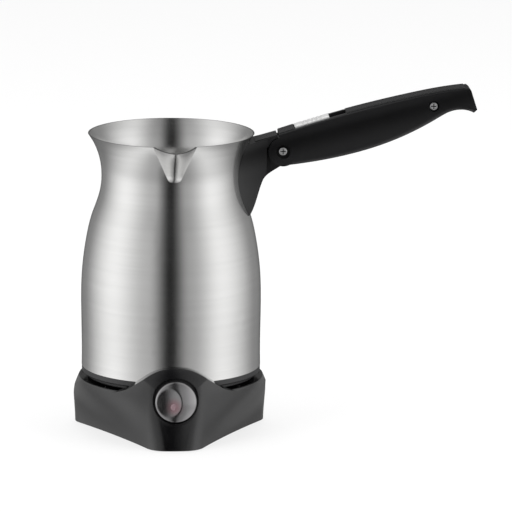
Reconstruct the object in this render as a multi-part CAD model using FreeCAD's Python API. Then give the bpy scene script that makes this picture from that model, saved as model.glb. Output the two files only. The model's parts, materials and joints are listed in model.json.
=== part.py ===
"""Electric coffee pot on a three-lobed power base, with a knob and a folding handle.

Millimetres. Origin on the pot's axis at table level, +Z up, spout and knob towards -Y, handle towards +X.
Each node is written to parts/NODE.step.
"""
import FreeCAD, Part
import os
from math import atan2, cos, degrees, radians, sin, sqrt

os.makedirs("parts", exist_ok=True)

V = FreeCAD.Vector
UP = V(0, 0, 1)


# Driving dimensions

# Pot: height of the rim, height of the steel skirt's lower edge, sheet thickness, height of the pot's floor.
RIM_Z = 168.0
SKIRT_Z = 37.2
SHEET = 0.8
FLOOR_Z = 45.0

# Collar under the steel skirt: radius, height of its visible band, height down to its recessed edge.
COLLAR_R = 49.8
BAND_H = 3.4
COLLAR_H = 5.8

# Base: height of its lower edge, of the deck that the pot stands on and of the round rim under the collar.
BASE_Z = 0.5
DECK_Z = 24.8
CUP_Z = 31.0
WALL = 2.2

# Base seen from above: how far the lobes stand out from the collar, how deep the hollows between them go in
# under it, half the angle that each lobe's end spans, and the rounding of its corners.
LOBE_OUT = 7.2
VALLEY_IN = 12.6
LOBE_R = COLLAR_R + LOBE_OUT
VALLEY_R = COLLAR_R - VALLEY_IN
LOBE_HALF_DEG = 13.0
LOBE_ROUND = 12.0

# Hood over the knob: height of its crown against the pot, and half its width at its feet.
HOOD_TOP_Z = 46.0
HOOD_HALF = 37.0

# Knob: height of its axis, radius, how far it stands out of the hood, and the gap round it.
KNOB_Z = 28.6
KNOB_R = 11.4
KNOB_OUT = 5.6
KNOB_GAP = 1.0

# Handle: pivot, screw near the tip, half widths of grip and bracket, half width of the tongue in the joint.
PIVOT = V(61.6, 0, 158.3)
TIP_SCREW = V(145.1, 0, 183.2)
GRIP_HALF = 8.4
BRACKET_HALF = 8.8
TONGUE_HALF = 3.9
ROUND_END_R = 8.2

# Clearances: round a turning pin, between flat faces that slide, between bodies that pass each other.
RUNNING = 0.05
SIDE_GAP = 0.3
FREE_GAP = 0.5

# Screws: shank radius, head radius, head height.
SHANK_R = 1.55
HEAD_R = 2.35
HEAD_H = 1.5


# Shape helpers

def box(x0, x1, y0, y1, z0, z1):
    """Box between two corners."""
    return Part.makeBox(x1 - x0, y1 - y0, z1 - z0, V(x0, y0, z0))


def cyl(r, z0, z1, x=0.0, y=0.0):
    """Upright cylinder."""
    return Part.makeCylinder(r, z1 - z0, V(x, y, z0))


def tube(r_out, r_in, z0, z1, x=0.0, y=0.0):
    """Upright ring."""
    return cyl(r_out, z0, z1, x, y).cut(cyl(r_in, z0 - 1, z1 + 1, x, y))


def cyl_y(r, y0, y1, x, z):
    """Cylinder along Y."""
    return Part.makeCylinder(r, y1 - y0, V(x, y0, z), V(0, 1, 0))


def ring_y(r_out, r_in, y0, y1, x, z):
    """Ring along Y."""
    return cyl_y(r_out, y0, y1, x, z).cut(cyl_y(r_in, y0 - 1, y1 + 1, x, z))


def fuse(*shapes):
    """One solid from several that overlap."""
    return shapes[0].fuse(list(shapes[1:])).removeSplitter()


def line(a, b):
    return Part.LineSegment(a, b).toShape()


def arc(a, b, c):
    """Arc from a through b to c."""
    return Part.Arc(a, b, c).toShape()


def spline(points):
    curve = Part.BSplineCurve()
    curve.interpolate(points)
    return curve.toShape()


def turned(points):
    """Solid of revolution about Z from a closed outline of (radius, height) points."""
    outline = [V(r, 0, z) for r, z in points]
    return Part.Face(Part.makePolygon(outline + [outline[0]])).revolve(V(), UP, 360)


def side_prism(edges, half):
    """Solid of a closed outline in the XZ plane, as wide as half on either side of it."""
    face = Part.Face(Part.Wire(edges))
    face.translate(V(0, -half, 0))
    return face.extrude(V(0, 2 * half, 0))


def plan_prism(edges, z0, z1):
    """Upright solid of a closed outline in the XY plane."""
    face = Part.Face(Part.Wire(edges))
    face.translate(V(0, 0, z0))
    return face.extrude(V(0, 0, z1 - z0))


def polar(r, deg, z=0.0):
    """Point at an angle from the front (-Y), positive towards the handle (+X)."""
    return V(r * sin(radians(deg)), -r * cos(radians(deg)), z)


def rounded(shape, radius, wanted):
    """Fillet of the edges that wanted picks out."""
    return shape.makeFillet(radius, [e for e in shape.Edges if wanted(e)])


def screw(head_at, down, length):
    """Cross-head screw: pan head on a plain shank, pointing along down."""
    body = Part.makeCylinder(SHANK_R, length, head_at, down)
    head = Part.makeCylinder(HEAD_R, HEAD_H, head_at - down * HEAD_H, down)
    head = rounded(head, 0.6, lambda e: e.CenterOfMass.isEqual(head_at - down * HEAD_H, 0.01))
    body = fuse(body, head)
    across = down.cross(V(1, 0, 0)) if abs(down.x) < 0.5 else down.cross(UP)
    for arm, width in ((across, across.cross(down)), (across.cross(down), across)):
        start = head_at - down * (HEAD_H + 0.1) - arm * 1.5 - width * 0.28
        face = Part.Face(Part.makePolygon([start, start + arm * 3, start + arm * 3 + width * 0.56,
                                           start + width * 0.56, start]))
        body = body.cut(face.extrude(down * 0.9))
    return body


nodes = {}


# Pot vessel: spun steel with a narrow neck, a flared rim and a pressed spout

def pot_outline(inset):
    """The pot's side from the skirt to the rim, moved inwards by inset."""
    skirt_r = COLLAR_R + 0.1
    side = ((skirt_r, SKIRT_Z), (skirt_r + 0.2, 68.0), (skirt_r - 0.3, 91.0), (47.35, 108.4), (44.1, 122.1),
            (40.2, 133.2), (38.7, 143.5), (40.4, 156.4), (46.1, RIM_Z))
    return [V(r - inset, 0, z) for r, z in side]


def pot_body(inset):
    """Solid inside the pot's side, from the skirt's edge to the rim."""
    points = pot_outline(inset)
    edges = [spline(points), line(points[-1], V(0, 0, RIM_Z)), line(V(0, 0, RIM_Z), V(0, 0, SKIRT_Z)),
             line(V(0, 0, SKIRT_Z), points[0])]
    return Part.Face(Part.Wire(edges)).revolve(V(), UP, 360)


SPOUT_H = 21.0
SPOUT_HALF = 12.2
SPOUT_OUT = 11.6
LIP_DROP = 2.1


def spout_body(inset):
    """Beak of the spout: round-nosed sections that grow from the neck to the rim."""
    wires = []
    sections = ((0.0, 0.28, 38.4, 0.02), (0.12, 0.36, 38.5, 0.13), (0.55, 0.66, 40.2, 0.62),
                (1.02, 1.0, 44.4, 1.0))
    for share, half, root, out in sections:
        z = RIM_Z - SPOUT_H * (1 - share)
        w = SPOUT_HALF * half - inset
        tip = root + (SPOUT_OUT + 1.8) * out - 1.2 * inset
        side = root - inset
        nose = [V(w, -side, z), V(0.52 * w, -side - 0.72 * (tip - side), z), V(0, -tip, z)]
        nose += [V(-p.x, p.y, z) for p in reversed(nose[:2])]
        back = [V(-w, -28, z), V(w, -28, z)]
        wires.append(Part.Wire([spline(nose), line(nose[-1], back[0]), line(*back), line(back[1], nose[0])]))
    return Part.makeLoft(wires, True, False)


rim_plane = cyl(70, RIM_Z - 60, RIM_Z)
outside = fuse(pot_body(0), spout_body(0).common(rim_plane))
inside = pot_body(SHEET).common(cyl(60, FLOOR_Z, RIM_Z + 1))
inside = rounded(inside, 5, lambda e: abs(e.CenterOfMass.z - FLOOR_Z) < 0.01 and e.Length > 100)
inside = fuse(inside, spout_body(SHEET + 0.1))
under = cyl(COLLAR_R + 0.1 - SHEET, SKIRT_Z - 1, FLOOR_Z - SHEET)
vessel = outside.cut(inside).cut(under)

# The spout's lip dips towards its tip
lip_y = -44.5
far_y = -70.0
low_z = RIM_Z - LIP_DROP * (lip_y - far_y) / 13
dip = [V(0, lip_y, RIM_Z), V(0, far_y, low_z), V(0, far_y, RIM_Z + 5), V(0, lip_y, RIM_Z + 5)]
dip_face = Part.Face(Part.makePolygon(dip + [dip[0]]))
dip_face.translate(V(-30, 0, 0))
nodes["pot_vessel"] = vessel.cut(dip_face.extrude(V(60, 0, 0)))


# Heater under the pot's floor: spreader plate, ring element with two terminals, thermal cut-out

PLATE_H = 2.6
plate_z = FLOOR_Z - SHEET - PLATE_H
nodes["heater_plate"] = cyl(44.0, plate_z, FLOOR_Z - SHEET)

TUBE_R = 3.0
ELEMENT_R = 31.0
element_z = plate_z - TUBE_R
element = Part.makeTorus(ELEMENT_R, TUBE_R, V(0, 0, element_z), UP, -180, 180, 300)
for deg in (0, 300):
    x = ELEMENT_R * cos(radians(deg))
    y = ELEMENT_R * sin(radians(deg))
    element = element.fuse(Part.makeSphere(TUBE_R, V(x, y, element_z)))
    element = element.fuse(cyl(1.3, element_z - 4.6, element_z, x, y))
nodes["heating_element"] = element.removeSplitter()
cutout_y = ELEMENT_R - TUBE_R - 5.6
nodes["thermal_cutout"] = fuse(cyl(4.4, plate_z - 4.5, plate_z, 0, cutout_y),
                               box(-3.2, 3.2, cutout_y - 0.5, cutout_y + 0.5, plate_z - 7, plate_z))


# Collar ring: dark band under the skirt, with a recess below, a lip inside the skirt and three screw bosses

collar_z = SKIRT_Z - COLLAR_H
band_z = SKIRT_Z - BAND_H
ring_r = COLLAR_R - 4.4
recess_r = COLLAR_R - 2.6
lip_r = COLLAR_R + 0.1 - SHEET
lip_top = SKIRT_Z + 3.4
collar = turned([(ring_r, collar_z), (recess_r - 0.6, collar_z), (recess_r, collar_z + 0.6),
                 (recess_r, band_z), (COLLAR_R - 0.6, band_z), (COLLAR_R, band_z + 0.6), (COLLAR_R, SKIRT_Z),
                 (lip_r, SKIRT_Z), (lip_r, lip_top), (ring_r, lip_top)])
cover_top = collar_z + 2.2
head_z = collar_z + 1.4
screw_top = SKIRT_Z + 1.0
BOSS_AT = COLLAR_R - 8.8
for deg in (60, 180, 300):
    at = polar(BOSS_AT, deg)
    web = box(BOSS_AT, ring_r + 1.1, -1.2, 1.2, cover_top, screw_top + 1.0)
    web.rotate(V(), UP, deg - 90)
    boss = fuse(cyl(3.4, cover_top, screw_top + 1.0, at.x, at.y), web)
    collar = collar.fuse(boss).cut(cyl(SHANK_R + RUNNING, 0, screw_top, at.x, at.y))
nodes["collar_ring"] = collar.removeSplitter()


# Bottom cover of the pot: disc with the ring foot that the pot stands on, held by three screws

FOOT_RING_R = 33.0
SOCKET_R = 16.6
cover = fuse(cyl(ring_r - 0.2, collar_z + 0.2, cover_top),
             tube(FOOT_RING_R, FOOT_RING_R - 3.2, DECK_Z + RUNNING, cover_top))
cover = cover.cut(cyl(SOCKET_R + 0.1, 0, 60))
for deg in (60, 180, 300):
    at = polar(BOSS_AT, deg)
    cover = cover.cut(cyl(SHANK_R + RUNNING, 0, 60, at.x, at.y))
    cover = cover.cut(cyl(HEAD_R + 0.3, 0, head_z, at.x, at.y))
    nodes["cover_screw_%d" % deg] = screw(at + V(0, 0, head_z), UP, screw_top - head_z - SIDE_GAP)
nodes["bottom_cover"] = cover


# Plug connection: socket and contacts under the pot, tower and contacts on the base

TOWER_R = 12.6
TOWER_TOP = collar_z - 0.2
PIN_R = 1.8
socket_z = DECK_Z + 4.4
socket = cyl(SOCKET_R, socket_z, plate_z - 0.6).cut(cyl(TOWER_R + 0.7, socket_z - 1, TOWER_TOP + 1.2))
socket = socket.cut(tube(SOCKET_R - 2.2, 9.5, TOWER_TOP + 3.4, plate_z))
nodes["pot_socket"] = socket
contact_top = TOWER_TOP + 1.2
nodes["socket_pin"] = cyl(PIN_R, DECK_Z + 1.2, contact_top)
nodes["socket_ring"] = tube(7.9, 7.2, DECK_Z + 2.6, contact_top)

tower = cyl(TOWER_R, DECK_Z - 5.4, TOWER_TOP)
tower = tower.makeFillet(1.0, [e for e in tower.Edges if abs(e.CenterOfMass.z - TOWER_TOP) < 0.01])
tower = fuse(tower, cyl(TOWER_R + 3.4, DECK_Z - 5.4, DECK_Z - WALL))
tower = tower.cut(cyl(PIN_R + 1.0, DECK_Z - 2.0, TOWER_TOP + 1))
tower = tower.cut(tube(9.0, 6.4, DECK_Z - 1.0, TOWER_TOP + 1))
nodes["base_connector"] = tower
nodes["centre_contact"] = tube(PIN_R + 1.0, PIN_R + 0.4, DECK_Z - 2.0, TOWER_TOP - 1.6)
nodes["ring_contact"] = tube(9.0, 8.4, DECK_Z - 1.0, TOWER_TOP - 1.6)


# Base shell: three lobes with hollow sides, rounded shoulders and a hood that rises in front of the pot

def lobed_plan(inset, z, valley_r):
    """Closed outline of the base seen from above, moved inwards by inset."""
    edges = []
    tip_r = LOBE_R - inset
    half = LOBE_HALF_DEG - degrees(inset / LOBE_R)
    for lobe in (0, 120, 240):
        edges.append(arc(polar(tip_r, lobe - half, z), polar(tip_r, lobe, z), polar(tip_r, lobe + half, z)))
        edges.append(arc(polar(tip_r, lobe + half, z), polar(valley_r - inset, lobe + 60, z),
                         polar(tip_r, lobe + 120 - half, z)))
    return Part.Wire(edges)


def valley_at(share):
    """Radius of the hollows between the lobes, growing from the lower edge (0) to the round rim (1)."""
    rim_r = COLLAR_R + FREE_GAP + 1.3
    eased = share * share * (3 - 2 * share)
    return VALLEY_R + (rim_r - VALLEY_R) * (0.35 * share + 0.65 * eased)


def lobed_loft(inset, z0):
    """Block with three lobes below that swells to a nearly round section at the rim, and goes on above it."""
    height = CUP_Z - BASE_Z
    wires = [lobed_plan(inset, z0, valley_at(0.0))]
    for share in (0.25, 0.5, 0.75, 1.0, 1.25, 1.9):
        valley_r = valley_at(share) if share <= 1 else valley_at(1.0) + 0.1
        wires.append(lobed_plan(inset, BASE_Z + height * share, valley_r))
    block = Part.makeLoft(wires, True, False)
    return rounded(block, LOBE_ROUND - inset, lambda e: e.BoundBox.ZLength > height)


def cap(inset, straight_z, top, lean, fullness):
    """Solid of revolution that rounds the lobes over from straight_z to their top, further in by lean.

    A fullness of 0.5 is a straight slope, and more is rounder."""
    r = LOBE_R - inset + 0.02
    top = top - inset
    bend = V(r - (1 - fullness) * lean, 0, straight_z + fullness * (top - straight_z))
    edges = [line(V(0, 0, -2), V(r, 0, -2)), line(V(r, 0, -2), V(r, 0, straight_z)),
             arc(V(r, 0, straight_z), bend, V(r - lean, 0, top)),
             line(V(r - lean, 0, top), V(0, 0, top)), line(V(0, 0, top), V(0, 0, -2))]
    return Part.Face(Part.Wire(edges)).revolve(V(), UP, 360)


CAP_LEAN = LOBE_OUT - FREE_GAP - 1.1


def shoulder_cap(inset):
    return cap(inset, CUP_Z - 18.5, CUP_Z, CAP_LEAN, 0.56)


def hood_cap(inset):
    return cap(inset, CUP_Z - 1.0, HOOD_TOP_Z, CAP_LEAN, 0.69)


def hood_arch(inset):
    """Everything under the hood's outline seen from the front."""
    foot = V(HOOD_HALF, 0, 2)
    top = [V(0, 0, HOOD_TOP_Z - inset), V(11, 0, HOOD_TOP_Z - 2.0 - inset), V(21.3, 0, CUP_Z + 6.4 - inset),
           V(27, 0, CUP_Z + 2.2 - inset), V(31.5, 0, CUP_Z - inset), V(HOOD_HALF, 0, CUP_Z - 2.6 - inset)]
    left = [V(-p.x, 0, p.z) for p in reversed(top[1:])]
    edges = [spline(left + top), line(top[-1], foot), line(foot, V(-foot.x, 0, foot.z)),
             line(V(-foot.x, 0, foot.z), left[0])]
    return side_prism(edges, 70)


# The pot's recess: a ledge under the collar and a deeper well for the ring foot
LEDGE_Z = CUP_Z - 0.9
WELL_R = FOOT_RING_R + 6.5
pot_space = fuse(cyl(COLLAR_R + FREE_GAP, LEDGE_Z, 80), cyl(WELL_R, DECK_Z, 80))
front = box(-60, 60, -70, -22, -5, 90)
block = lobed_loft(0, BASE_Z)
hood = block.common(hood_cap(0)).common(hood_arch(0)).common(front)
shell = fuse(block.common(shoulder_cap(0)), hood).cut(pot_space)

COLLAR_SKIN = 1.2
inner_block = lobed_loft(WALL, BASE_Z - 1)
roof = fuse(cyl(80, -3, DECK_Z - WALL), tube(80, WELL_R + WALL, -3, LEDGE_Z - WALL))
tub_hollow = inner_block.common(shoulder_cap(WALL)).common(roof)
hood_hollow = inner_block.common(hood_cap(WALL)).common(hood_arch(WALL))
hood_hollow = hood_hollow.common(box(-60, 60, -70, -30, -5, 90))
hood_hollow = hood_hollow.cut(cyl(COLLAR_R + FREE_GAP + COLLAR_SKIN, LEDGE_Z - WALL, 80))
hood_hollow = hood_hollow.cut(cyl(WELL_R + WALL, DECK_Z - WALL, 80))
shell = shell.cut(tub_hollow).cut(hood_hollow)

# Seat for the knob: round well in the hood's front with a floor that guides the knob's shaft
well_r = KNOB_R + KNOB_GAP
well_y = -LOBE_R + WALL
seat_y = well_y + 1.5
SHAFT_R = 3.0
seat = cyl_y(well_r + 1.6, -LOBE_R + 1.4, seat_y, 0, KNOB_Z).common(hood_cap(0.4))
shell = shell.fuse(seat).cut(cyl_y(well_r, -70, well_y, 0, KNOB_Z))
bevel = Part.makeCone(well_r + 2.4, well_r, 2.4, V(0, -LOBE_R - 0.6, KNOB_Z), V(0, 1, 0))
shell = shell.cut(bevel).cut(cyl_y(SHAFT_R + RUNNING, -70, -40, 0, KNOB_Z))

# Screw bosses under the deck, the connector's opening and the cord inlet's opening
PLATE_SCREW_R = LOBE_R - 19.0
plate_top = BASE_Z + 3.0
INLET_Z = 11.5
INLET_R = 4.2
INLET_FACE = VALLEY_R + 4.4
INLET_WALL = 4.0
for lobe in (0, 120, 240):
    at = polar(PLATE_SCREW_R, lobe)
    shell = shell.fuse(cyl(3.6, plate_top, DECK_Z - 1, at.x, at.y))
    shell = shell.cut(cyl(SHANK_R + RUNNING, 0, plate_top + 11, at.x, at.y))
pad_r = INLET_Z - plate_top - 0.6
shell = shell.fuse(cyl_y(pad_r, INLET_FACE - INLET_WALL, INLET_FACE, 0, INLET_Z))
shell = shell.cut(cyl_y(pad_r, INLET_FACE, 60, 0, INLET_Z)).cut(cyl_y(INLET_R + 0.1, 30, 60, 0, INLET_Z))
shell = shell.cut(cyl_y(INLET_R + 1.4, 30, INLET_FACE - INLET_WALL, 0, INLET_Z))
shell = shell.cut(cyl(TOWER_R + 0.1, 0, 60))
nodes["base_shell"] = shell.removeSplitter()


# Bottom plate of the base with three screws and three rubber feet

FOOT_AT = LOBE_R - 8.6
FOOT_R = 4.4
under_z = BASE_Z + 0.6
plate_inset = WALL + SIDE_GAP
plate = Part.Face(lobed_plan(plate_inset, under_z, VALLEY_R)).extrude(V(0, 0, plate_top - under_z))
plate = rounded(plate, LOBE_ROUND - plate_inset, lambda e: e.BoundBox.ZLength > 2)
names = {0: "front", 120: "right", 240: "left"}
for lobe, name in names.items():
    at = polar(PLATE_SCREW_R, lobe)
    foot = polar(FOOT_AT, lobe)
    plate = plate.cut(cyl(SHANK_R + RUNNING, 0, 60, at.x, at.y))
    plate = plate.cut(cyl(HEAD_R + 0.4, 0, plate_top - 0.9, at.x, at.y))
    plate = plate.cut(cyl(FOOT_R, 0, plate_top - 1.2, foot.x, foot.y))
    pad = cyl(FOOT_R, 0, plate_top - 1.2, foot.x, foot.y)
    nodes["foot_" + name] = pad.makeFillet(0.5, [e for e in pad.Edges if e.CenterOfMass.z < 0.01])
    nodes["plate_screw_" + name] = screw(at + V(0, 0, plate_top - 0.9), UP, 10.5)
for y in (-9, 0, 9):
    plate = plate.cut(fuse(box(-9, 9, y - 1.2, y + 1.2, 0, 9), cyl(1.2, 0, 9, -9, y), cyl(1.2, 0, 9, 9, y)))
nodes["bottom_plate"] = plate


# Cord inlet bush in the rear wall, terminal block and the wires between it and the connector

inlet_in = INLET_FACE - INLET_WALL
inlet = fuse(cyl_y(INLET_R, inlet_in - 5, INLET_FACE + 0.5, 0, INLET_Z),
             cyl_y(INLET_R + 1.4, INLET_FACE + RUNNING, INLET_FACE + 1.9, 0, INLET_Z),
             cyl_y(INLET_R + 1.0, inlet_in - 2.0, inlet_in - RUNNING, 0, INLET_Z))
nodes["cord_inlet"] = inlet.cut(cyl_y(3.0, 0, 60, 0, INLET_Z))
terminals = box(-9.6, 9.6, 15.5, 23.5, plate_top, plate_top + 8.5)
for x in (-6.2, 0, 6.2):
    terminals = terminals.cut(cyl(1.5, plate_top + 4.2, 60, x, 19.5))
    terminals = terminals.cut(cyl_y(1.6, 0, 40, x, plate_top + 3.0))
nodes["terminal_block"] = terminals
wires = []
for x in (-6.2, 0, 6.2):
    start = V(x, 16.2, plate_top + 3.0)
    path = spline([start, start + V(0, -3.5, 0.4), V(x * 0.9, 9.0, 13.0), V(x * 0.8, 7.6, DECK_Z - 5.6)])
    ring = Part.Wire(Part.makeCircle(1.0, start, V(0, 1, 0)))
    wires.append(Part.Wire(path).makePipeShell([ring], True, False))
nodes["base_wires"] = Part.makeCompound(wires)


# Knob: domed disc with an off-centre finger dish, its shaft, and the pilot lens set in it

knob_back = well_y - SIDE_GAP
knob_front = -LOBE_R - KNOB_OUT
back_edge = V(KNOB_R, knob_back, 0)
side_end = V(KNOB_R, knob_front + 3.2, 0)
face_edge = V(KNOB_R - 4.0, knob_front + 0.5, 0)
face_centre = V(0, knob_front, 0)
profile = [line(V(0, knob_back, 0), back_edge), line(back_edge, side_end),
           arc(side_end, V(KNOB_R - 1.5, knob_front + 1.3, 0), face_edge),
           arc(face_edge, V(3.8, knob_front + 0.12, 0), face_centre),
           line(face_centre, V(0, knob_back, 0))]
knob = Part.Face(Part.Wire(profile)).revolve(V(), V(0, 1, 0), 360)
knob.translate(V(0, 0, KNOB_Z))
DISH_R = 8.3
dish_ball = 14.0
dish = V(-5.6, knob_front + 0.5 - sqrt(dish_ball ** 2 - DISH_R ** 2), KNOB_Z + 1.0)
knob = knob.cut(Part.makeSphere(dish_ball, dish))
LENS_R = 2.0
lens_at = V(-1.0, 0, KNOB_Z - 2.3)
lens_front = dish.y + sqrt(dish_ball ** 2 - (lens_at.x - dish.x) ** 2 - (lens_at.z - dish.z) ** 2) - 0.45
shaft_tip = knob_back - 3.0
knob = knob.cut(cyl_y(SHAFT_R, shaft_tip, 0, 0, KNOB_Z))
knob = knob.cut(cyl_y(LENS_R, -80, shaft_tip - 0.6, lens_at.x, lens_at.z))
nodes["control_knob"] = knob
lens = cyl_y(LENS_R, lens_front, shaft_tip - 0.6, lens_at.x, lens_at.z)
nodes["pilot_lens"] = rounded(lens, 0.7, lambda e: abs(e.CenterOfMass.y - lens_front) < 0.01)
switch_y = seat_y + 0.1
switch_back = -(COLLAR_R + FREE_GAP + COLLAR_SKIN) - 0.1
shaft_end = switch_back - 0.1
nodes["knob_shaft"] = cyl_y(SHAFT_R, shaft_tip, shaft_end, 0, KNOB_Z)
switch = cyl_y(8.4, switch_y, switch_back, 0, KNOB_Z).fuse(box(-8, 8, switch_y, switch_back, 14, KNOB_Z))
switch = switch.fuse(box(-8, 8, switch_y, -PLATE_SCREW_R - 4.4, 6.4, DECK_Z - WALL - 1.4))
nodes["switch_body"] = switch.cut(cyl_y(SHAFT_R + RUNNING, -60, switch_back + 1, 0, KNOB_Z)).removeSplitter()


# Handle bracket: channel moulding that hugs the pot's neck, with a tongue that reaches the pivot

def side_outline(points, curves):
    """Edges of a closed XZ outline: straight lines, and smooth curves over the (first, last) spans."""
    edges = []
    i = 0
    count = len(points)
    while i < count:
        span = [c for c in curves if c[0] == i]
        j = span[0][1] if span else i + 1
        run = [V(*[points[k % count][0], 0, points[k % count][1]]) for k in range(i, j + 1)]
        edges.append(spline(run) if len(run) > 2 else line(run[0], run[1]))
        i = j
    return edges


SEAM_X = 52.4
pivot_x = PIVOT.x
pivot_z = PIVOT.z
bracket_side = side_prism(side_outline(
    [(34.0, 163.0), (44.0, 163.3), (58.4, 167.3), (60.0, 161.0), (SEAM_X, 161.0), (SEAM_X, 146.4),
     (48.9, 138.6), (46.3, 130.0), (43.2, 123.0), (34.0, 121.0)], [(5, 8)]), 20)
joint_round = cyl_y(ROUND_END_R + FREE_GAP, -20, 20, pivot_x, pivot_z)
far_corner = V(70, BRACKET_HALF)
bend_start = V(53, BRACKET_HALF)
pot_corner = V(30, 16)
plan_side = [line(far_corner, bend_start), arc(bend_start, V(44, 10.2), pot_corner)]
plan_edges = plan_side + [e.mirror(V(), V(0, 1, 0)) for e in plan_side]
plan_edges += [line(p, V(p.x, -p.y)) for p in (pot_corner, far_corner)]
bracket_plan = plan_prism(Part.__sortEdges__(plan_edges), 110, 180)
pot_outer = pot_body(0)
bracket = bracket_side.common(bracket_plan).cut(joint_round)
pocket = side_prism(side_outline(
    [(42.5, 161.4), (56.0, 162.4), (SEAM_X + 4, 148.0), (50.6, 147.0), (47.2, 139.4), (44.6, 131.5),
     (42.6, 128.0)], [(3, 6)]), 20).common(box(0, 90, -BRACKET_HALF + 1.9, BRACKET_HALF - 1.9, 100, 200))
tongue_r = ROUND_END_R - SIDE_GAP
tongue = side_prism(side_outline(
    [(40.0, 162.0), (56.0, 163.0), (pivot_x, pivot_z + tongue_r), (pivot_x, pivot_z - tongue_r),
     (56.4, 147.0), (SEAM_X + 0.2, 144.2), (49.2, 138.6), (45.8, 130.5), (40.0, 128.0)], [(3, 7)]), TONGUE_HALF)
tongue = tongue.fuse(cyl_y(tongue_r, -TONGUE_HALF, TONGUE_HALF, pivot_x, pivot_z))
bracket = bracket.cut(pocket).fuse(tongue).cut(pot_outer)
bush_r = SHANK_R + 1.0
bracket = bracket.cut(cyl_y(bush_r, -20, 20, pivot_x, pivot_z))

# Mounting plate on the pot's neck with two studs that the bracket is pressed on
neck_plate = pot_body(-1.3).cut(pot_outer).common(box(30, 60, -6.5, 6.5, 128, 158))
STUD_R = 1.9
for z in (135.0, 151.0):
    neck_plate = neck_plate.fuse(Part.makeCylinder(STUD_R, 8.0, V(39.2, 0, z), V(1, 0, 0)))
neck_plate = neck_plate.cut(pot_outer).removeSplitter()
nodes["bracket_plate"] = neck_plate
nodes["handle_bracket"] = bracket.cut(neck_plate).removeSplitter()
nodes["pivot_bush"] = ring_y(bush_r, SHANK_R + RUNNING, -TONGUE_HALF, TONGUE_HALF, pivot_x, pivot_z)


# Grip: two half shells with a slot for the tongue, closed by the pivot screw and a screw near the tip

TOP_START = V(59.3, 0, 168.2)
top_line = [(TOP_START.x, TOP_START.z), (95.9, 179.2), (133.3, 188.2), (150.5, 191.5), (164.4, 193.2)]
under_line = [(167.4, 179.3), (160.2, 181.0), (154.0, 179.8), (148.0, 176.6), (133.2, 168.5), (114.9, 161.0),
              (96.5, 155.8), (82.7, 153.0), (pivot_x, pivot_z - ROUND_END_R)]
end_line = [(165.8, 192.0), (169.2, 181.4)]
outline = top_line + end_line + under_line + [(pivot_x, pivot_z)]
grip_side = side_prism(side_outline(outline, [(0, 4), (7, 15)]), GRIP_HALF)
grip = grip_side.fuse(cyl_y(ROUND_END_R, -GRIP_HALF, GRIP_HALF, pivot_x, pivot_z)).removeSplitter()

grip = rounded(grip, 1.2, lambda e: e.BoundBox.XLength > 90 and e.CenterOfMass.z > 175)
grip = rounded(grip, 2.6, lambda e: e.BoundBox.XLength > 90 and e.CenterOfMass.z < 175)

# Slot for the tongue, deep enough below the pivot for the whole fold
slot_half = TONGUE_HALF + SIDE_GAP
slot = cyl_y(ROUND_END_R + FREE_GAP, -slot_half, slot_half, pivot_x, pivot_z)
slot = slot.fuse(box(pivot_x - 12, pivot_x + 18, -slot_half, slot_half, pivot_z - 20, pivot_z))
slot = slot.fuse(box(pivot_x - 12, pivot_x, -slot_half, slot_half, pivot_z - 20, pivot_z + ROUND_END_R))
grip = grip.cut(slot)

# Hollows that leave walls, a rib and the screw's boss
for corners in (((98, 159.8), (113, 164.4), (113, 179.5), (98, 175.2)),
                ((115.5, 165.2), (138, 175.2), (138, 185.2), (115.5, 180.2))):
    grip = grip.cut(side_prism(side_outline(corners, []), GRIP_HALF - 2.4))

# Screws along Y with their wells in the front half
for at, well, name in ((PIVOT, 4.0, "pivot_screw"), (TIP_SCREW, 3.0, "tip_screw")):
    seat_at = -GRIP_HALF + 2.4
    grip = grip.cut(cyl_y(well, -20, seat_at, at.x, at.z))
    grip = grip.cut(cyl_y(SHANK_R, -20, GRIP_HALF - 1.4, at.x, at.z))
    nodes[name] = screw(V(at.x, seat_at, at.z), V(0, 1, 0), 2 * GRIP_HALF - 2.4 - 1.6)

# Rail inlaid along the top in two lengths, with the button's channel between them
RAIL_HALF = 7.0
RAIL_LOW = 1.2
RAIL_HIGH = 0.4
GROOVE_AT = 5.3


def top_strip(points, low, high, half, x0, x1):
    """Strip that follows a top outline from low below it to high above it, between two stations."""
    upper = [V(x, 0, z + high) for x, z in points]
    lower = [V(x, 0, z - low) for x, z in points]
    curve = spline if len(points) > 2 else lambda p: line(p[0], p[1])
    ends = [line(upper[-1], lower[-1]), line(lower[0], upper[0])]
    strip = side_prism([curve(upper), ends[0], curve(lower), ends[1]], half)
    return strip.common(box(x0, x1, -20, 20, 100, 220))


rail = []
for x0, x1 in ((59.4, 67.8), (96.8, 162.6)):
    grip = grip.cut(top_strip(top_line, RAIL_LOW, 4, RAIL_HALF, x0, x1))
    rail.append(top_strip(top_line, RAIL_LOW, RAIL_HIGH, RAIL_HALF, x0, x1))
rail_long = rail[1]
for y in (-GROOVE_AT, GROOVE_AT):
    rail_long = rail_long.cut(top_strip(top_line, -0.05, 2, 0.4, 90, 170).translated(V(0, y, 0)))
nodes["rail_front"] = rail[0]
nodes["rail_long"] = rail_long

cap_line = [(44.0, 163.3), (58.4, 167.3)]
nodes["bracket_cap"] = top_strip(cap_line, RAIL_LOW, RAIL_HIGH, RAIL_HALF, 46.2, 58.4)
nodes["handle_bracket"] = nodes["handle_bracket"].cut(top_strip(cap_line, RAIL_LOW, 4, RAIL_HALF, 46.2, 60))


# Release button: ribbed pad in the channel, stem, and a latch bar that points at the tongue's round end

slope = degrees(atan2(top_line[1][1] - TOP_START.z, top_line[1][0] - TOP_START.x))


def on_top(shape):
    """Move a shape drawn along X at the origin onto the grip's sloping top."""
    shape = shape.copy()
    shape.rotate(V(), V(0, 1, 0), -slope)
    shape.translate(TOP_START)
    return shape


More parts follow.
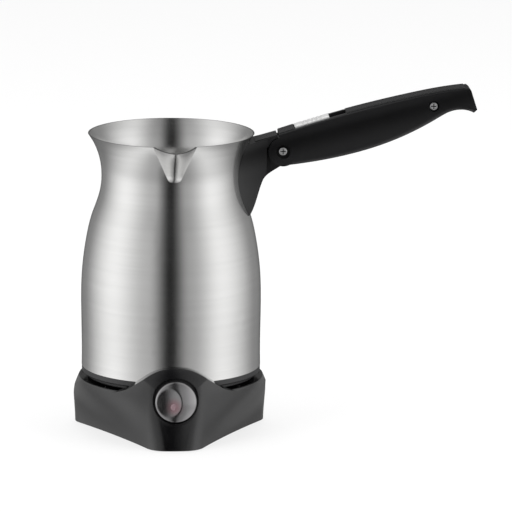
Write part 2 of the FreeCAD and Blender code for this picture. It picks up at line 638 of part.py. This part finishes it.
PAD_START = 9.5
PAD_LENGTH = 20.0
TRAVEL = 4.0
PAD_HALF = 4.5
LATCH_START = 7.2
LATCH_END = 20.0
grip = grip.cut(on_top(box(PAD_START - 0.6, 39.2, -PAD_HALF - SIDE_GAP, PAD_HALF + SIDE_GAP, -3.4, 6)))
grip = grip.cut(on_top(box(13.4, 20.2 + TRAVEL + 0.4, -2.5, 2.5, -6, -3)))
grip = grip.cut(on_top(box(LATCH_START - 0.8, LATCH_END + TRAVEL + 2.0, -2.5, 2.5, -8.6, -5.2)))
pad = box(PAD_START, PAD_START + PAD_LENGTH, -PAD_HALF, PAD_HALF, -3.1, 1.2)
pad = rounded(pad, 0.8, lambda e: e.CenterOfMass.z > 1.1 or e.BoundBox.ZLength > 4)
for i in range(5):
    u = PAD_START + 5.0 + 2.5 * i
    pad = pad.cut(Part.makeCylinder(0.7, 20, V(u, -10, 1.5), V(0, 1, 0)))
button = fuse(pad, box(14.0, 20.0, -2.2, 2.2, -7, -3), box(LATCH_START, LATCH_END, -2.2, 2.2, -8.3, -5.5))
nodes["release_button"] = on_top(button)

spring_start = LATCH_END + 0.1
spring_length = TRAVEL + 1.8
coil = Part.makeHelix(1.2, spring_length - 0.8, 1.1)
ring = Part.Wire(Part.makeCircle(0.25, V(1.1, 0, 0), V(0, 1, 0)))
spring = Part.Wire(coil).makePipeShell([ring], True, True)
spring.rotate(V(), V(0, 1, 0), 90)
spring.translate(V(spring_start + 0.4, 0, -6.9))
nodes["button_spring"] = on_top(spring)

nodes["grip_front"] = grip.common(box(0, 200, -20, 0, 100, 220))
nodes["grip_back"] = grip.common(box(0, 200, 0, 20, 100, 220))

for name, shape in nodes.items():
    shape.exportStep("parts/%s.step" % name)
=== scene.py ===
"""Looks of the electric coffee pot on its three-lobed base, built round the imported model. Metres, +Z up."""
import json
import math

import bmesh
import bpy
from mathutils import Matrix, Vector


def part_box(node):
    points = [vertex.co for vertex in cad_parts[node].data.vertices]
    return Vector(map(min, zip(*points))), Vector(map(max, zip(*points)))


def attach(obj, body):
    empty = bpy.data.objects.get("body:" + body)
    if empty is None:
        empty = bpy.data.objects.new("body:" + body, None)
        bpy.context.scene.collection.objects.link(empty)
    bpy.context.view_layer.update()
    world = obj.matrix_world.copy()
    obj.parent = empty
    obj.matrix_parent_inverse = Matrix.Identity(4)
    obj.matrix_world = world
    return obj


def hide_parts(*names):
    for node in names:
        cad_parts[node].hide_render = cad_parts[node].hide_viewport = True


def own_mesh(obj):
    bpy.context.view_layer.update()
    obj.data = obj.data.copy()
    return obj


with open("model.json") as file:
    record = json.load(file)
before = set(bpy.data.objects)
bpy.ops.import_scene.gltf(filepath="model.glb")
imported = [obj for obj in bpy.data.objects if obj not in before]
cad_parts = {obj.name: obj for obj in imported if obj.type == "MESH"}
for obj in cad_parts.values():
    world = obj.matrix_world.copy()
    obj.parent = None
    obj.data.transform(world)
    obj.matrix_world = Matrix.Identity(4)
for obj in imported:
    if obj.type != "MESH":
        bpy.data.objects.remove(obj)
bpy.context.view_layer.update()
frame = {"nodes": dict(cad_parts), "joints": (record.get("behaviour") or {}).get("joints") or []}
nodes = frame["nodes"]


# Pot vessel.
# One spun sheet of stainless steel with a pressed spout. Its outside is brushed round and round on the lathe,
# which leaves fine level lines that smear each reflection up and down, and it is welded shut at the floor.

class Level:
    """One output of a node. Where it carries a number, it takes part in plain arithmetic."""

    def __init__(self, bench, socket):
        self.bench = bench
        self.socket = socket

    def worked_out(self, operation, first, second):
        return self.bench.node("ShaderNodeMath", {"operation": operation}, [first, second])

    def __add__(self, other):
        return self.worked_out("ADD", self, other)

    def __mul__(self, other):
        return self.worked_out("MULTIPLY", self, other)

    def __sub__(self, other):
        return self.worked_out("SUBTRACT", self, other)

    def __rsub__(self, other):
        return self.worked_out("SUBTRACT", other, self)

    __radd__ = __add__
    __rmul__ = __mul__


class Bench:
    """A node tree in the making."""

    def __init__(self, owner):
        owner.use_nodes = True
        self.tree = owner.node_tree

    def node(self, kind, settings=None, values=(), out=0):
        """Any node: its settings first, then what its sockets hold or link to. Gives back one output."""
        made = self.tree.nodes.new(kind)
        for key, value in (settings or {}).items():
            if key == "stops":
                self.fill(made.color_ramp, value)
            else:
                setattr(made, key, value)
        pairs = values.items() if isinstance(values, dict) else enumerate(values)
        for key, value in pairs:
            self.feed(made.inputs[key], value)
        return Level(self, made.outputs[out])

    def fill(self, ramp, stops):
        """Gives a ramp its stops, each a place and a level from 0 to 1, with smooth turns between them."""
        ramp.interpolation = "EASE"
        while len(ramp.elements) < len(stops):
            ramp.elements.new(0.5)
        for element, (at, shade) in zip(ramp.elements, stops):
            element.position = at
            element.color = (shade, shade, shade, 1)

    def feed(self, socket, value):
        if isinstance(value, Level):
            self.tree.links.new(value.socket, socket)
        elif isinstance(value, tuple) and len(value) == 3 and socket.type == "RGBA":
            socket.default_value = (*value, 1)
        else:
            socket.default_value = value


class Finish(Bench):
    """A material. Fixed values go straight onto the surface shader's own sockets."""

    def __init__(self, name, **fixed):
        self.material = bpy.data.materials.new(name)
        super().__init__(self.material)
        self.surface = self.tree.nodes["Principled BSDF"]
        self.place = self.node("ShaderNodeTexCoord", out="Object")
        self.set(**fixed)

    def set(self, **sockets):
        """Sets or links the surface shader's sockets, named in lower case with low lines for spaces."""
        for key, value in sockets.items():
            self.feed(self.surface.inputs[key.replace("_", " ").title().replace("Ior", "IOR")], value)

    def axis(self, letter):
        return self.node("ShaderNodeSeparateXYZ", values=[self.place], out=letter)

    def stretched(self, across, up):
        """Place on the object, scaled evenly over X and Y and by its own factor along Z."""
        return self.node("ShaderNodeVectorMath", {"operation": "MULTIPLY"},
                         [self.place, (across, across, up)])

    def grain(self, scale, detail=2.0, roughness=0.5, at=None):
        """Cloudy noise from 0 to 1 at so many spots a metre."""
        values = {"Vector": at or self.place, "Scale": scale, "Detail": detail, "Roughness": roughness}
        return self.node("ShaderNodeTexNoise", {"noise_dimensions": "3D"}, values)

    def between(self, level, low, high):
        """Spreads a level of 0 to 1 over low to high."""
        return level * (high - low) + low

    def tint(self, level, dark, light):
        """Colour between dark and light."""
        return self.node("ShaderNodeMix", {"data_type": "RGBA"}, {0: level, 6: dark, 7: light}, out=2)

    def relief(self, height, depth, rounding=0.0):
        """Normals from a height in metres of depth, with edges softened over the rounding."""
        values = {"Height": height, "Strength": 1.0, "Distance": depth}
        if rounding:
            values["Normal"] = self.node("ShaderNodeBevel", {"samples": 4}, {"Radius": rounding})
        self.set(normal=self.node("ShaderNodeBump", values=values))

    def on(self, *names):
        """Gives this finish to CAD nodes."""
        for name in names:
            piece = nodes[name]
            if not piece.material_slots:
                piece.data.materials.append(self.material)
            for slot in piece.material_slots:
                slot.material = self.material


steel = Finish("brushed_steel", metallic=1.0)
hairlines = steel.grain(1.0, detail=3.0, roughness=0.6, at=steel.stretched(across=34.0, up=3400.0))
bands = steel.grain(1.0, roughness=0.6, at=steel.stretched(across=9.0, up=420.0))
smudge = steel.grain(28.0, detail=3.0, roughness=0.6)
steel.set(base_color=steel.tint(bands * 0.5 + hairlines * 0.5, (0.67, 0.668, 0.66), (0.79, 0.787, 0.78)))
steel.set(roughness=steel.between(hairlines * 0.6 + smudge * 0.4, 0.14, 0.24))
steel.relief(hairlines + bands * 0.25, depth=0.000006)
steel.on("pot_vessel")


# Heater under the pot's floor.
# A rolled aluminium spreader plate is pressed to the floor, with a sheathed ring element brazed under it and
# a thermal cut-out clipped beside the socket.

def worked(finish, patches, dark, light, sheen, smooth, rough, pits, depth, rounding):
    """A finish of three noises: its colour lies in patches, its roughness in a sheen, and it has pits of a
    depth. Each noise is given by its spots a metre and, where that isn't the usual one, its detail. Edges are
    softened over the rounding."""
    finish.set(base_color=finish.tint(finish.grain(*patches), dark, light))
    finish.set(roughness=finish.between(finish.grain(*sheen), smooth, rough))
    finish.relief(finish.grain(*pits), depth, rounding)


aluminium = Finish("rolled_aluminium", metallic=1.0)
worked(aluminium, patches=(240.0,), dark=(0.62, 0.62, 0.63), light=(0.74, 0.74, 0.75),
       sheen=(90.0, 3.0), smooth=0.3, rough=0.48, pits=(2200.0,), depth=0.00001, rounding=0.0003)
aluminium.on("heater_plate")

sheath = Finish("heater_sheath", metallic=0.85)
worked(sheath, patches=(160.0, 4.0), dark=(0.09, 0.07, 0.055), light=(0.26, 0.22, 0.19),
       sheen=(300.0,), smooth=0.4, rough=0.65, pits=(1800.0,), depth=0.00002, rounding=0.0003)
sheath.on("heating_element", "thermal_cutout")


# Collar ring and bottom cover of the pot.
# Two nearly black heat-proof mouldings: the ring is pushed into the steel skirt, and the cover with the ring
# foot is held to its bosses by three screws.

collar = Finish("collar_moulding", specular_ior_level=0.6)
worked(collar, patches=(60.0, 3.0), dark=(0.011, 0.011, 0.012), light=(0.02, 0.02, 0.021),
       sheen=(420.0,), smooth=0.34, rough=0.46, pits=(3200.0,), depth=0.000012, rounding=0.0003)
collar.on("collar_ring", "bottom_cover")


# Plug connection.
# Dark glass-filled mouldings, a tower on the base and a socket under the pot, each with turned brass
# contacts.

inner = Finish("inner_moulding", specular_ior_level=0.5)
worked(inner, patches=(120.0, 3.0), dark=(0.02, 0.02, 0.02), light=(0.035, 0.035, 0.035),
       sheen=(500.0,), smooth=0.42, rough=0.58, pits=(2600.0,), depth=0.00002, rounding=0.0003)
inner.on("pot_socket", "base_connector", "switch_body", "terminal_block")

brass = Finish("contact_brass", metallic=1.0)
worked(brass, patches=(300.0, 3.0), dark=(0.5, 0.34, 0.12), light=(0.78, 0.6, 0.27),
       sheen=(700.0,), smooth=0.2, rough=0.4, pits=(3000.0,), depth=0.000008, rounding=0.0002)
brass.on("socket_pin", "socket_ring", "centre_contact", "ring_contact")


# Base shell, bottom plate and cord bush.
# Charcoal ABS with a fine spark-eroded satin skin. The shell is one moulding with its hood, the plate is
# screwed up into it from below, and the bush clips into the rear wall.

charcoal = Finish("base_moulding", specular_ior_level=0.4, coat_roughness=0.14)
cloud = charcoal.grain(22.0, detail=3.0, roughness=0.6)
skin = charcoal.grain(3400.0, roughness=0.6)
charcoal.set(base_color=charcoal.tint(cloud, (0.0026, 0.0026, 0.003), (0.0046, 0.0046, 0.0052)))
charcoal.set(roughness=charcoal.between(cloud * 0.5 + skin * 0.5, 0.14, 0.24))
charcoal.set(coat_weight=charcoal.between(cloud, 0.9, 1.0))
charcoal.relief(skin, depth=0.00001, rounding=0.001)
charcoal.on("base_shell", "bottom_plate", "cord_inlet")


# Rubber feet.
# Three soft black discs pressed into wells in the bottom plate.

rubber = Finish("foot_rubber", specular_ior_level=0.3)
worked(rubber, patches=(200.0, 3.0), dark=(0.012, 0.012, 0.012), light=(0.028, 0.027, 0.026),
       sheen=(600.0,), smooth=0.7, rough=0.88, pits=(1500.0,), depth=0.00003, rounding=0.0004)
rubber.on("foot_front", "foot_left", "foot_right")


# Wires in the base.
# Three insulated leads from the terminal block up to the tower, brown on one side and blue on the other.

BLUE_BEYOND_X = 0.002

lead = Finish("lead_insulation")
is_blue = lead.node("ShaderNodeMath", {"operation": "GREATER_THAN"}, [lead.axis("X"), BLUE_BEYOND_X])
lead.set(base_color=lead.tint(is_blue, (0.16, 0.06, 0.025), (0.03, 0.1, 0.3)))
lead.set(roughness=lead.between(lead.grain(500.0), 0.35, 0.5))
lead.relief(lead.grain(1500.0), depth=0.00002)
lead.on("base_wires")


# Control knob and pilot lens.
# The knob is a domed moulding plated in smoked chrome, with an off-centre finger dish whose lip is polished
# round. It is pressed on a steel shaft, and a pink lens for the pilot lamp is let into the dish.

DOME_R = 0.020
BOWL_R_ACROSS = 0.026
BOWL_R_UP = 0.071
BOWL_DEPTH = 0.0028
BOWL_X = -0.0085
LIP_SOFTNESS = 0.0003
EDGE_ROUND = 0.0007
RINGS = 48
SPOKES = 144


def knob_depth(x, z, radius):
    """How far the knob's face lies behind its foremost plane."""
    r = math.hypot(x, z)
    dome = r * r / (2 * DOME_R)
    edge = max(0.0, r - radius + EDGE_ROUND) / EDGE_ROUND
    dome += EDGE_ROUND * (1 - math.sqrt(max(0.0, 1 - edge * edge)))
    bowl = BOWL_DEPTH - (x - BOWL_X) ** 2 / (2 * BOWL_R_ACROSS) - z ** 2 / (2 * BOWL_R_UP)
    return (dome + bowl + math.hypot(dome - bowl, LIP_SOFTNESS)) / 2


def knob_mesh():
    """The knob's face in rings of points about its middle, then a straight side and a flat back."""
    low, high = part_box("control_knob")
    radius = (high[0] - low[0]) / 2
    centre = Vector(((low[0] + high[0]) / 2, low[1], (low[2] + high[2]) / 2))
    points = [centre + Vector((0, knob_depth(0, 0, radius), 0))]
    for ring in range(1, RINGS + 1):
        r = radius * math.sin(math.pi / 2 * ring / RINGS)
        for spoke in range(SPOKES):
            x = r * math.cos(math.tau * spoke / SPOKES)
            z = r * math.sin(math.tau * spoke / SPOKES)
            points.append(centre + Vector((x, knob_depth(x, z, radius), z)))
    back_start = 1 + RINGS * SPOKES
    points += [Vector((point.x, high[1], point.z)) for point in points[back_start - SPOKES:back_start]]

    faces = [(0, 1 + spoke, 1 + (spoke + 1) % SPOKES) for spoke in range(SPOKES)]
    for ring in range(RINGS):
        start = 1 + ring * SPOKES
        for spoke in range(SPOKES):
            after = (spoke + 1) % SPOKES
            faces.append((start + spoke, start + SPOKES + spoke, start + SPOKES + after, start + after))
    mesh = bpy.data.meshes.new("knob_face")
    mesh.from_pydata(points, [], faces)
    mesh.polygons.foreach_set("use_smooth", [True] * len(faces))

    # Closed behind with one flat face, which keeps a sharp edge
    shape = bmesh.new()
    shape.from_mesh(mesh)
    shape.verts.ensure_lookup_table()
    flat = shape.faces.new(shape.verts[back_start:])
    bmesh.ops.recalc_face_normals(shape, faces=shape.faces)
    for edge in flat.edges:
        edge.smooth = False
    shape.to_mesh(mesh)
    shape.free()
    return mesh


# The pilot lamp's pink glow is painted onto the plating: it starts to fade this far from the lens's middle,
# and has gone this far from it.
GLOW_PAINT_FROM = 0.0015
GLOW_PAINT_TO = 0.0065
GLOW_PAINT_SHARE = 0.85

chrome = Finish("smoked_chrome", metallic=0.95, coat_roughness=0.06)
lens_low, lens_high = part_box("pilot_lens")
lens_at = tuple((a + b) / 2 for a, b in zip(lens_low, lens_high))
off_lens = chrome.node("ShaderNodeVectorMath", {"operation": "DISTANCE"},
                       [chrome.place, lens_at], out="Value")
painted_lamp_glow = chrome.node("ShaderNodeMapRange", {"interpolation_type": "SMOOTHSTEP"},
                    [off_lens, GLOW_PAINT_FROM, GLOW_PAINT_TO, GLOW_PAINT_SHARE, 0.0])
plating = chrome.tint(chrome.grain(90.0, 3.0), (0.29, 0.285, 0.29), (0.37, 0.365, 0.37))
# Painted light: the plating's colour turns pink round the lens, a painted glow of the pilot lamp, with less
# coat there.
chrome.set(base_color=chrome.tint(painted_lamp_glow, plating, (0.34, 0.2, 0.225)))
chrome.set(roughness=chrome.between(chrome.grain(260.0, 3.0), 0.08, 0.15))
chrome.set(coat_weight=chrome.between(painted_lamp_glow, 0.2, 0.1))
chrome.relief(chrome.grain(900.0), depth=0.000004)
knob = bpy.data.objects.new("knob_face", knob_mesh())
knob.data.materials.append(chrome.material)
bpy.context.scene.collection.objects.link(knob)
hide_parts("control_knob")
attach(knob, "knob")
chrome.on("control_knob")

pink = Finish("pilot_lens", transmission_weight=0.25, specular_ior_level=0.7)
worked(pink, patches=(700.0,), dark=(0.24, 0.15, 0.17), light=(0.34, 0.24, 0.26),
       sheen=(900.0,), smooth=0.12, rough=0.25, pits=(2500.0,), depth=0.000006, rounding=0.0003)
pink.on("pilot_lens")


# Handle: bracket, two grip halves, cap and rails, release button.
# Black heat-proof mouldings. The bracket is pressed on studs at the neck, the grip's halves close round its
# tongue, glossier strips are inlaid along the top, and a pale ribbed button slides between them.

# The mouldings' colour is painted lighter along their top edge and over their lower half than between the
# two, a painted highlight and painted light, and their coat is glossier there too.
TOP_LINE_RISE = 0.27
TOP_LINE_START = 0.1533
PAINTED_LIGHT_REACH = 0.03
PAINTED_LIGHT_STOPS = ((0, 0.9), (0.08, 0.5), (0.25, 0.04), (0.65, 0.8), (1, 1))

ebony = Finish("handle_moulding", specular_ior_level=0.2, coat_roughness=0.22)
touch = ebony.grain(30.0, detail=3.0, roughness=0.6)
fine = ebony.grain(3600.0, roughness=0.6)
below_top = ebony.axis("X") * TOP_LINE_RISE + TOP_LINE_START - ebony.axis("Z")
# Painted light: a ramp down from the top line that lightens the colour at the top edge and over the lower
# half.
painted_light = ebony.node("ShaderNodeValToRGB", {"stops": PAINTED_LIGHT_STOPS}, [below_top * (1 / PAINTED_LIGHT_REACH)])
painted_light_and_tone = painted_light * 0.8 + touch * 0.2
# The colour is mostly painted light, with a little random tone from the touch noise.
ebony.set(base_color=ebony.tint(painted_light_and_tone, (0.0018, 0.0018, 0.002), (0.0125, 0.0125, 0.0132)))
ebony.set(roughness=ebony.between(touch * 0.4 + fine * 0.6, 0.28, 0.4))
ebony.set(coat_weight=ebony.between(painted_light, 0.1, 0.9))
ebony.relief(fine, depth=0.000008, rounding=0.0005)
ebony.on("handle_bracket", "grip_front", "grip_back")

trim = Finish("trim_moulding", specular_ior_level=0.8)
worked(trim, patches=(40.0, 3.0), dark=(0.012, 0.012, 0.0125), light=(0.018, 0.018, 0.019),
       sheen=(500.0,), smooth=0.24, rough=0.32, pits=(2800.0,), depth=0.000002, rounding=0.0004)
trim.on("bracket_cap", "rail_front", "rail_long")

pale = Finish("button_moulding", specular_ior_level=0.5)
worked(pale, patches=(80.0, 3.0), dark=(0.54, 0.54, 0.54), light=(0.62, 0.62, 0.615),
       sheen=(600.0,), smooth=0.25, rough=0.38, pits=(2600.0,), depth=0.000008, rounding=0.0003)
pale.on("release_button")


# Screws, bush, shaft and neck plate.
# Zinc-plated steel with the faint swirl of the plating barrel. The two screws that show on the grip are
# polished, with painted shade, near black, in their crosses and round the edge of their heads.

SHADE_DEPTH = 0.002
PAINTED_SHADE_STOPS = ((0, 0), (0.08, 0), (0.22, 1), (0.7, 1), (0.9, 0))

zinc = Finish("zinc_plate", metallic=1.0)
worked(zinc, patches=(500.0, 3.0), dark=(0.7, 0.7, 0.71), light=(0.88, 0.88, 0.88),
       sheen=(800.0, 3.0), smooth=0.28, rough=0.42, pits=(2400.0,), depth=0.000008, rounding=0.0002)
zinc.on("plate_screw_front", "plate_screw_left", "plate_screw_right", "cover_screw_60", "cover_screw_180",
        "cover_screw_300", "pivot_bush", "bracket_plate", "button_spring", "knob_shaft")

polished = Finish("polished_screw", metallic=1.0)
below_head = polished.axis("Y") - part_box("pivot_screw")[0][1]
# Painted shade: near black a little behind the head's front face, in the cross and round the head's edge.
painted_shade = polished.node("ShaderNodeValToRGB", {"stops": PAINTED_SHADE_STOPS}, [below_head * (1 / SHADE_DEPTH)])
polished.set(base_color=polished.tint(painted_shade, (0.92, 0.92, 0.92), (0.02, 0.02, 0.02)))
polished.set(roughness=polished.between(polished.grain(900.0, 3.0), 0.34, 0.5))
polished.relief(polished.grain(2400.0), depth=0.000008, rounding=0.0002)
polished.on("pivot_screw", "tip_screw")


# Button spring.
# A small coil of zinc-plated spring wire between the button's post and the end of its pocket in the grip. On
# the pot it closes up to nearly solid as the button slides out; here the copy keeps its shape and rides with
# the grip.

push = next(Vector(joint["axis"]) for joint in frame["joints"] if joint["name"] == "button_slide")
coil = bpy.data.objects.new("spring_coil", nodes["button_spring"].data.copy())
coil.data.name = "spring_coil"
bpy.context.scene.collection.objects.link(coil)
pocket_end = push * max(vertex.co.dot(push) for vertex in coil.data.vertices)
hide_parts("button_spring")
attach(coil, "grip")
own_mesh(coil)


# Studio: floor, world, lamps and camera.
# A pale floor, soft even lamps, and a world that reflects as a ring of soft boxes with a narrow dark gap at
# the front, as in product photography of shiny pots.

VIEW_TURN = math.radians(-3.82)
VIEW_TILT = math.radians(11.92)
VIEW_ROLL = math.radians(-0.32)
VIEW_DISTANCE = 2.6306
FRAME_PX = 512
FOCAL_PX = 4717.0
AIM = Vector((0, 0, 0.08))
AIM_PX = (171.03, 287.91)

FLOOR_HALF = 6.0
FLOOR_GLOW = 0.75

floor_corners = [(x * FLOOR_HALF, y * FLOOR_HALF, 0) for x, y in ((-1, -1), (1, -1), (1, 1), (-1, 1))]
floor_mesh = bpy.data.meshes.new("floor")
floor_mesh.from_pydata(floor_corners, [], [(0, 1, 2, 3)])
floor = bpy.data.objects.new("floor", floor_mesh)
bpy.context.scene.collection.objects.link(floor)
floor.visible_glossy = False
paper = Finish("floor_paper", specular_ior_level=0.1, base_color=(0.9, 0.9, 0.9), roughness=0.9)
glow = paper.node("ShaderNodeEmission", values={"Color": (1, 1, 1), "Strength": 1.0})
in_view = paper.node("ShaderNodeLightPath", out="Is Camera Ray")
lit = Level(paper, paper.surface.outputs[0])
blend = paper.node("ShaderNodeMixShader", values=[in_view * FLOOR_GLOW, lit, glow])
paper.feed(paper.tree.nodes["Material Output"].inputs["Surface"], blend)
floor_mesh.materials.append(paper.material)

# The boxes' light by turn from the camera's side, in degrees: a dark gap at the front, a soft box on each
# side of it, and a dimmer room behind. By height it goes from 0 straight down to 1 straight up, strongest
# about level.
PEAK = 1.2
SOFT_BOXES = ((-180, 0.1), (-145, 0.28), (-78, 1.2), (-30, 0.6), (-1, 0.0), (3, 0.01), (26, 0.47), (70, 1.15),
              (140, 0.3), (180, 0.1))
BY_HEIGHT = ((0, 0.78), (0.15, 0.8), (0.28, 0.76), (0.41, 1.0), (0.6, 1.0), (0.85, 0.78), (1, 0.6))
EVEN_LIGHT = 0.55

world = bpy.data.worlds.new("studio")
bpy.context.scene.world = world
sky = Bench(world)
looking = sky.node("ShaderNodeTexCoord", out="Generated")
looking = sky.node("ShaderNodeVectorRotate", {"rotation_type": "Z_AXIS"},
                   {"Vector": looking, "Angle": -VIEW_TURN})
across = sky.node("ShaderNodeSeparateXYZ", values=[looking], out="X")
away = sky.node("ShaderNodeSeparateXYZ", values=[looking], out="Y")
upward = sky.node("ShaderNodeSeparateXYZ", values=[looking], out="Z")
turn = sky.node("ShaderNodeMath", {"operation": "ARCTAN2"}, [across, 0 - away])
stops = [(degrees / 360 + 0.5, light / PEAK) for degrees, light in SOFT_BOXES]
boxes = sky.node("ShaderNodeValToRGB", {"stops": stops}, [turn * (1 / math.tau) + 0.5])
boxes = boxes * sky.node("ShaderNodeValToRGB", {"stops": BY_HEIGHT}, [upward * 0.5 + 0.5])
in_view = sky.node("ShaderNodeLightPath", out="Is Camera Ray")
in_view = in_view + sky.node("ShaderNodeLightPath", out="Is Transmission Ray")
mirrored = sky.node("ShaderNodeLightPath", out="Is Glossy Ray")
even = sky.node("ShaderNodeBackground", values=[(1, 1, 1), EVEN_LIGHT])
white = sky.node("ShaderNodeBackground", values=[(1, 1, 1), 1.0])
room = sky.node("ShaderNodeBackground", values=[boxes, PEAK])
seen = sky.node("ShaderNodeMixShader", values=[in_view, even, white])
seen = sky.node("ShaderNodeMixShader", values=[mirrored, seen, room])
sky.feed(sky.tree.nodes["World Output"].inputs["Surface"], seen)

# Each lamp's name, place, width and power in watts
LAMPS = (("key", (-1.6, -1.2, 1.5), 1.4, 26.0), ("fill", (1.7, -1.0, 1.2), 1.6, 20.0),
         ("top", (0.1, 0.3, 2.0), 1.8, 22.0))
LAMPS_AIM = Vector((0.03, 0, 0.08))

for name, at, width, power in LAMPS:
    lamp = bpy.data.lights.new(name, "AREA")
    lamp.shape = "DISK"
    lamp.size = width
    lamp.energy = power
    holder = bpy.data.objects.new(name, lamp)
    holder.location = at
    holder.rotation_euler = (LAMPS_AIM - Vector(at)).to_track_quat("-Z", "Y").to_euler()
    holder.visible_glossy = False
    bpy.context.scene.collection.objects.link(holder)

level_back = Vector((math.sin(VIEW_TURN), -math.cos(VIEW_TURN), 0))
back = level_back * math.cos(VIEW_TILT) + Vector((0, 0, math.sin(VIEW_TILT)))
level_right = Vector((0, 0, 1)).cross(back).normalized()
plumb_up = back.cross(level_right)
right = math.cos(VIEW_ROLL) * level_right - math.sin(VIEW_ROLL) * plumb_up
up = math.sin(VIEW_ROLL) * level_right + math.cos(VIEW_ROLL) * plumb_up
offset = right * (AIM_PX[0] - FRAME_PX / 2) + up * (FRAME_PX / 2 - AIM_PX[1])
stand = AIM + back * VIEW_DISTANCE - offset * (VIEW_DISTANCE / FOCAL_PX)
lens = bpy.data.cameras.new("camera")
lens.lens = FOCAL_PX / FRAME_PX * lens.sensor_width
lens.clip_end = 100.0
camera = bpy.data.objects.new("camera", lens)
camera.matrix_world = Matrix.Translation(stand) @ Matrix((right, up, back)).transposed().to_4x4()
bpy.context.scene.collection.objects.link(camera)
bpy.context.scene.camera = camera
bpy.context.scene.view_settings.view_transform = "Standard"
